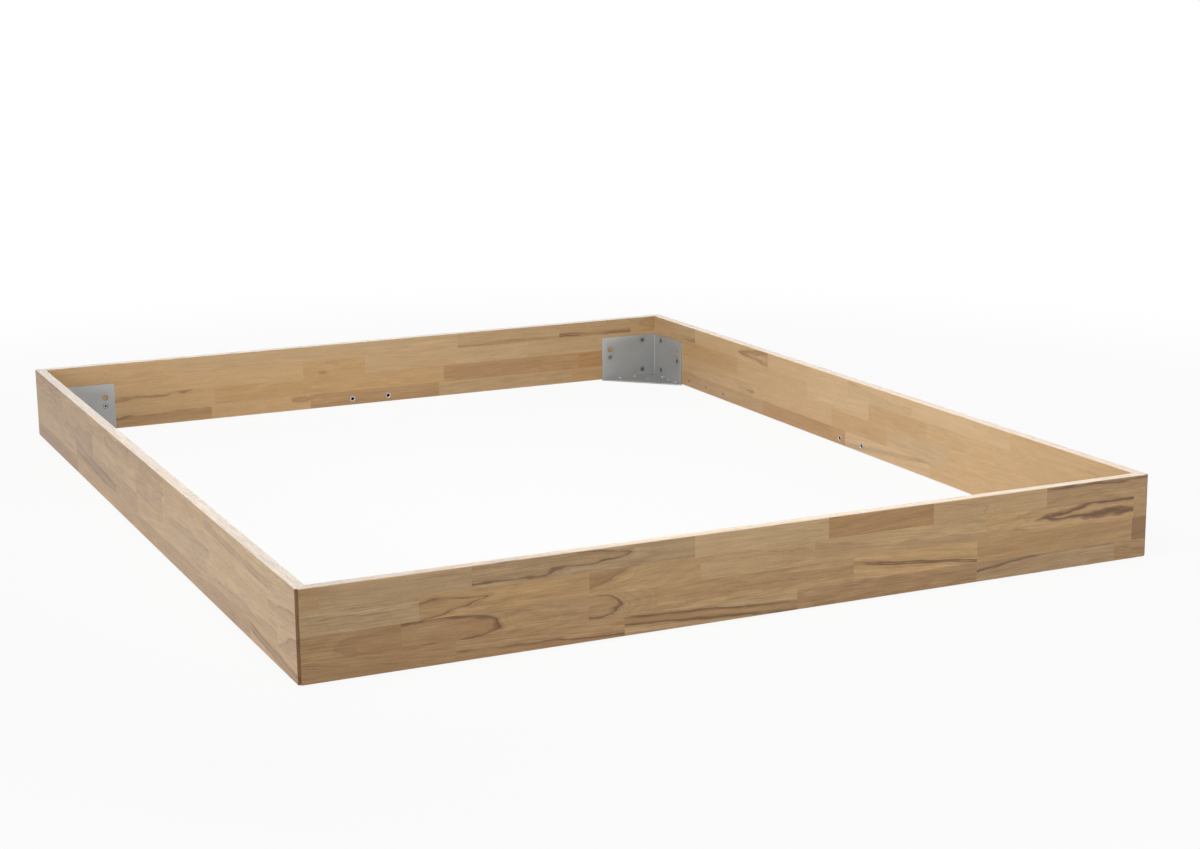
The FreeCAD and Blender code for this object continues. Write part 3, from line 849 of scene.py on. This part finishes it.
def mark_staves(bm, board, row_tops):
    """Writes on each corner of each face where it lies on its stave and how that stave grew."""
    low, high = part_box(board.node)
    rng = random.Random(board.seed)
    shifts = [
        [Vector([rng.uniform(0, PATTERN_SHIFT) for _ in range(3)]) for _ in row]
        for row in board.rows]
    place, share, line, bend = [
        bm.loops.layers.float_vector.new(name) for name in (*PLACE_MARKS, *GROWTH_MARKS)]
    layers = [bm.loops.layers.float.new(name) for name in STAVE_MARKS]
    for face in bm.faces:
        centre = face.calc_center_median()
        end_grain = float(abs(face.normal[board.axis]) > END_GRAIN)
        bored = float(is_bored(face, low, high, board.axis))
        row_number = sum(centre.z < height for height in row_tops[1:-1])
        row = board.rows[row_number]
        run = (centre[board.axis] - board.start) * board.direction / MM
        number = min(sum(run > stave.end for stave in row), len(row) - 1)
        stave = row[number]
        start = row[number - 1].end * MM if number else 0
        length = stave.end * MM - start
        top, bottom = row_tops[row_number], row_tops[row_number + 1]
        # Painted light: a top takes its board's painted light for tops, the other faces its painted
        # light for faces.
        cast = board.top if face.normal.z > UPWARDS else board.cast
        values = (
            stave.shade.tone + cast.tone, stave.shade.hue + cast.hue, stave.fill, stave.line,
            end_grain, bored, board.grain, stave.growth.waver)
        for corner in face.loops:
            spot = corner.vert.co
            along = (spot[board.axis] - board.start) * board.direction - start
            across = spot.z - (top + bottom) / 2
            through = abs(spot[1 - board.axis] - board.shown)
            u = along / length - 0.5
            v = across / (top - bottom) + RING_TILT * through
            climb = max(-FIBRE_SLOPE, min(FIBRE_SLOPE, stave.growth.slope)) * u * (top - bottom)
            corner[place] = shifts[row_number][number] + Vector((along, across - climb, through))
            corner[share] = Vector((u, v, length))
            corner[line] = Vector(stave.growth.line)
            corner[bend] = Vector(stave.growth.bend)
            for layer, value in zip(layers, values):
                corner[layer] = value


def edges_over(bm, angle):
    """The edges of a bmesh whose faces turn by more than an angle."""
    return [edge for edge in bm.edges if edge.calc_face_angle(0) > angle]


def soften(bm, edges, width, segments=2):
    """Rounds some edges of a bmesh."""
    bmesh.ops.bevel(
        bm, geom=edges, offset=width, affect="EDGES", segments=segments, profile=BEVEL_PROFILE,
        material=KEEP_MATERIAL, clamp_overlap=True)


def join_flats(bm):
    """Joins the triangles of a solid's flat faces."""
    bmesh.ops.dissolve_limit(bm, angle_limit=FLAT_ANGLE, verts=bm.verts[:], edges=bm.edges[:])


def groove_mitres(bm, width):
    """Eases the upper edges of a board's mitred ends, which leaves a fine groove at each joint."""
    slanted = [
        face for face in bm.faces
        if min(abs(face.normal.x), abs(face.normal.y)) > MITRE_SLANT]
    edges = [
        edge for face in slanted for edge in face.edges
        if any(side.normal.z > UPWARDS for side in edge.link_faces)]
    soften(bm, edges, width, 1)


def islands(bm):
    """The separate solids of a bmesh, as lists of vertices."""
    unseen = dict.fromkeys(bm.verts)
    while unseen:
        found = [next(iter(unseen))]
        del unseen[found[0]]
        for vert in found:
            for edge in vert.link_edges:
                other = edge.other_vert(vert)
                if other in unseen:
                    del unseen[other]
                    found.append(other)
        yield found


def box_of(verts):
    """The lowest and highest corner of some vertices."""
    low = Vector([min(vert.co[axis] for vert in verts) for axis in range(3)])
    high = Vector([max(vert.co[axis] for vert in verts) for axis in range(3)])
    return low, high


def long_axis(low, high):
    """The level axis along which a box is longest."""
    return 0 if high.x - low.x > high.y - low.y else 1


def mark_recess_shade(bm, reach, rim=math.inf):
    """Marks for painted shade the faces of each solid that lie within reach of its axis, behind its
    end towards the bed's middle, and more faintly the corners of that end that lie beyond its rim."""
    mark = bm.loops.layers.float.new(RECESS_SHADE_MARK)
    for solid in islands(bm):
        low, high = box_of(solid)
        axis = long_axis(low, high)
        centre = (low + high) / 2
        mouth = min(abs(low[axis]), abs(high[axis]))
        for face in dict.fromkeys(face for vert in solid for face in vert.link_faces):
            offset = face.calc_center_median() - centre
            behind = abs(offset[axis] + centre[axis]) - mouth > SOCKET_START
            offset[axis] = 0
            for corner in face.loops:
                out = corner.vert.co - centre
                out[axis] = 0
                beyond = out.length > rim
                corner[mark] = float(offset.length < reach) if behind else RIM_SHADE * beyond


def ripple_weld(bead, spacing, depth):
    """Presses ripples into a weld bead, which lies along a wall and on a plate."""
    low, high = box_of(bead)
    along = long_axis(low, high)
    side = 1 - along
    wall = max(low[side], high[side], key=abs)
    for vert in bead:
        ripple = 0.5 + 0.5 * math.cos(FULL_TURN * (vert.co[along] - low[along]) / spacing)
        keep = 1 - depth * ripple
        vert.co[side] = wall + (vert.co[side] - wall) * keep
        vert.co.z = low.z + (vert.co.z - low.z) * keep


def turn_sleeve(bm, low, high, pitch, depth):
    """Turns a collared sleeve with a threaded bore, which fills a box and has its collar at the
    box's inner end."""
    axis = long_axis(low, high)
    mouth = min(low[axis], high[axis], key=abs)
    length = high[axis] - low[axis]
    rim = (high.z - low.z) / 2
    profile = [(0, length - SLEEVE_FLOOR), (SLEEVE_BORE, length - SLEEVE_FLOOR)]
    turns = int((length - SLEEVE_FLOOR - SLEEVE_CHAMFER) / pitch)
    for turn in reversed(range(turns)):
        start = SLEEVE_CHAMFER + turn * pitch
        profile += [(SLEEVE_BORE, start + pitch), (SLEEVE_BORE - depth, start + pitch / 2)]
    profile += [(SLEEVE_BORE, SLEEVE_CHAMFER), (SLEEVE_BORE + SLEEVE_CHAMFER, 0)]
    profile += [(rim - COLLAR_ROUND, 0), (rim, COLLAR_ROUND), (rim, SLEEVE_COLLAR)]
    profile += [(SLEEVE_WALL, SLEEVE_COLLAR), (SLEEVE_WALL, length), (0, length)]
    centre = (low + high) / 2
    outwards = Vector((0, 0, 0))
    outwards[axis] = math.copysign(1, mouth)
    centre[axis] = mouth
    verts = [
        bm.verts.new(centre + outwards * deep + Vector((0, 0, radius))) for radius, deep in profile]
    edges = [bm.edges.new(pair) for pair in zip(verts, verts[1:])]
    bmesh.ops.spin(
        bm, geom=verts + edges, cent=centre, axis=outwards, angle=FULL_TURN, steps=SLEEVE_STEPS,
        use_merge=True)


# Operators

class BED_OT_boards(bpy.types.Operator):
    """Cut the four boards into staves and give them their wood"""

    bl_idname = "bed.boards"
    bl_label = "Boards"

    def execute(self, context):
        looks = context.scene.bed_frame.boards
        wood = heart_beech(looks)
        for board in BOARDS:
            low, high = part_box(board.node)
            row_tops = [low.z + (high.z - low.z) * share for share in ROW_SHARES]
            bm = merged_copy(board.node)
            join_flats(bm)
            groove_mitres(bm, looks.mitre_groove)
            bmesh.ops.triangulate(bm, faces=bm.faces[:])
            cut_into_staves(bm, board, row_tops)
            mark_staves(bm, board, row_tops)
            add_piece(bm, "staved_" + board.node, wood, "heart_beech", board.node)
        return {"FINISHED"}


class BED_OT_angles(bpy.types.Operator):
    """Round the edges of the steel angles and plates and coat them"""

    bl_idname = "bed.angles"
    bl_label = "Steel Angles"

    def execute(self, context):
        looks = context.scene.bed_frame.steel
        coat = coated_steel(looks)
        for place in CORNERS:
            for kind in ("corner_angle", "base_plate"):
                node = f"{kind}_{place}"
                bm = merged_copy(node)
                join_flats(bm)
                square = edges_over(bm, SQUARE_ANGLE)
                rims = [edge for edge in square if edge.calc_length() < RIM_EDGE]
                soften(bm, rims, looks.hole_chamfer, 1)
                soften(bm, edges_over(bm, SQUARE_ANGLE), looks.edge_round)
                add_piece(bm, "coated_" + node, coat, "coated_steel", node)
            node = "weld_beads_" + place
            bm = merged_copy(node)
            bmesh.ops.subdivide_edges(bm, edges=bm.edges[:], cuts=1, use_grid_fill=True)
            for bead in islands(bm):
                ripple_weld(bead, looks.ripple_spacing, looks.ripple_depth)
            weld = bm.loops.layers.float.new(WELD_MARK)
            for face in bm.faces:
                for corner in face.loops:
                    corner[weld] = 1
            add_piece(bm, "rippled_" + node, coat, "coated_steel", node)
        return {"FINISHED"}


class BED_OT_fasteners(bpy.types.Operator):
    """Round the screws, turn the threaded sleeves and plate them with zinc"""

    bl_idname = "bed.fasteners"
    bl_label = "Screws and Sleeves"

    def execute(self, context):
        looks = context.scene.bed_frame.steel
        zinc = zinc_plate(looks)
        for place in CORNERS:
            node = "angle_screws_" + place
            bm = merged_copy(node)
            join_flats(bm)
            soften(bm, edges_over(bm, SHARP_ANGLE), looks.screw_round)
            mark_recess_shade(bm, SOCKET_REACH, HEAD_RIM)
            add_piece(bm, "plated_" + node, zinc, "zinc_plated_steel", node)
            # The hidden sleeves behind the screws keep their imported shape.
            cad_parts["screw_sleeves_" + place].material_slots[0].material = zinc
        for board in BOARDS:
            node = "beam_sleeves_" + board.node
            packed = merged_copy(node)
            bm = bmesh.new()
            for sleeve in islands(packed):
                turn_sleeve(bm, *box_of(sleeve), looks.thread_pitch, looks.thread_depth)
            packed.free()
            bmesh.ops.remove_doubles(bm, verts=bm.verts[:], dist=MERGE_DISTANCE)
            bmesh.ops.recalc_face_normals(bm, faces=bm.faces[:])
            mark_recess_shade(bm, SLEEVE_BORE)
            add_piece(bm, "turned_" + node, zinc, "zinc_plated_steel", node)
        return {"FINISHED"}


class BED_OT_stage(bpy.types.Operator):
    """Lay the floor, hang the lamps and set up the camera"""

    bl_idname = "bed.stage"
    bl_label = "Stage"

    def execute(self, context):
        looks = context.scene.bed_frame.stage
        self.lay_floor(context.scene, looks)
        self.light_world(context.scene, looks.sky)
        for lamp in LAMPS:
            self.hang_lamp(context.scene, lamp)
        self.place_camera(context.scene, looks)
        context.scene.view_settings.view_transform = "Standard"
        return {"FINISHED"}

    def lay_floor(self, scene, looks):
        """A white floor that looks plain white and keeps a soft shadow near the bed."""
        bm = bmesh.new()
        bmesh.ops.create_grid(bm, x_segments=1, y_segments=1, size=FLOOR_REACH)
        mesh = bpy.data.meshes.new("studio_floor")
        bm.to_mesh(mesh)
        bm.free()
        material, tree, shader = new_material("white_studio_floor")
        fill_inputs(
            tree, shader, {"Base Color": (*looks.floor, 1), "Roughness": FLOOR_ROUGHNESS})
        place = add_node(tree, "TexCoord").outputs["Object"]
        reach = add_node(tree, "VectorMath", place, operation="LENGTH").outputs["Value"]
        far = add_node(
            tree, "MapRange", reach, *SHADOW_FADE, looks.floor_glow, 1.0,
            interpolation_type="SMOOTHSTEP")
        seen = seen_directly(tree, looks.floor_shine)
        white = add_node(tree, "Math", seen, far, operation="MULTIPLY")
        glow = add_node(tree, "Emission", WHITE, 1.0)
        both = add_node(tree, "MixShader", white, shader, glow)
        output = next(node for node in tree.nodes if node.type == "OUTPUT_MATERIAL")
        fill_inputs(tree, output, {"Surface": both})
        mesh.materials.append(material)
        floor = bpy.data.objects.new("studio_floor", mesh)
        scene.collection.objects.link(floor)

    def light_world(self, scene, strength):
        """Even light from all round, which the eye and reflections see as white."""
        world = bpy.data.worlds.new("studio")
        world.use_nodes = True
        tree = world.node_tree
        background = next(node for node in tree.nodes if node.type == "BACKGROUND")
        level = add_node(tree, "MapRange", seen_directly(tree, 1.0), 0.0, 1.0, strength, 1.0)
        fill_inputs(tree, background, {"Color": WHITE, "Strength": level})
        scene.world = world

    def hang_lamp(self, scene, lamp):
        """A rectangular lamp at its place, aimed at its point."""
        light = bpy.data.lights.new(lamp.name, "AREA")
        light.shape = "RECTANGLE"
        light.size, light.size_y = lamp.size
        light.energy = lamp.watts
        holder = bpy.data.objects.new(lamp.name, light)
        scene.collection.objects.link(holder)
        holder.location = lamp.place
        ray = Vector(lamp.aim) - Vector(lamp.place)
        holder.rotation_euler = ray.to_track_quat("-Z", "Y").to_euler()
        holder.visible_camera = False

    def place_camera(self, scene, looks):
        """A camera where the photograph was taken from."""
        lens = bpy.data.cameras.new("photo_camera")
        lens.sensor_fit = "HORIZONTAL"
        lens.lens = looks.focal_pixels / looks.photo_width * lens.sensor_width
        lens.clip_end = FARTHEST_VIEW
        camera = bpy.data.objects.new("photo_camera", lens)
        scene.collection.objects.link(camera)
        camera.location = looks.camera_place
        camera.rotation_euler = looks.camera_turn
        scene.camera = camera


class BED_PT_panel(bpy.types.Panel):
    """Lists the steps that dress the bed frame"""

    bl_label = "Bed Frame"
    bl_idname = "BED_PT_panel"
    bl_space_type = "VIEW_3D"
    bl_region_type = "UI"
    bl_category = "Bed Frame"

    def draw(self, context):
        looks = context.scene.bed_frame
        for operator in OPERATORS:
            self.layout.operator(operator.bl_idname)
        for group in (looks.boards, looks.steel, looks.stage):
            box = self.layout.box()
            for name in group.bl_rna.properties.keys():
                if name not in ("rna_type", "name"):
                    box.prop(group, name)


OPERATORS = (BED_OT_boards, BED_OT_angles, BED_OT_fasteners, BED_OT_stage)
CLASSES = (BoardLooks, SteelLooks, StageLooks, BedFrameLooks, *OPERATORS, BED_PT_panel)


def register():
    """Makes the classes and the scene's settings known to Blender."""
    for known in CLASSES:
        bpy.utils.register_class(known)
    bpy.types.Scene.bed_frame = bpy.props.PointerProperty(type=BedFrameLooks)


def unregister():
    """Takes them away again."""
    del bpy.types.Scene.bed_frame
    for known in reversed(CLASSES):
        bpy.utils.unregister_class(known)


def main():
    """Builds the looks in order."""
    register()
    bpy.ops.bed.boards()
    bpy.ops.bed.angles()
    bpy.ops.bed.fasteners()
    bpy.ops.bed.stage()


if __name__ == "__main__":
    main()
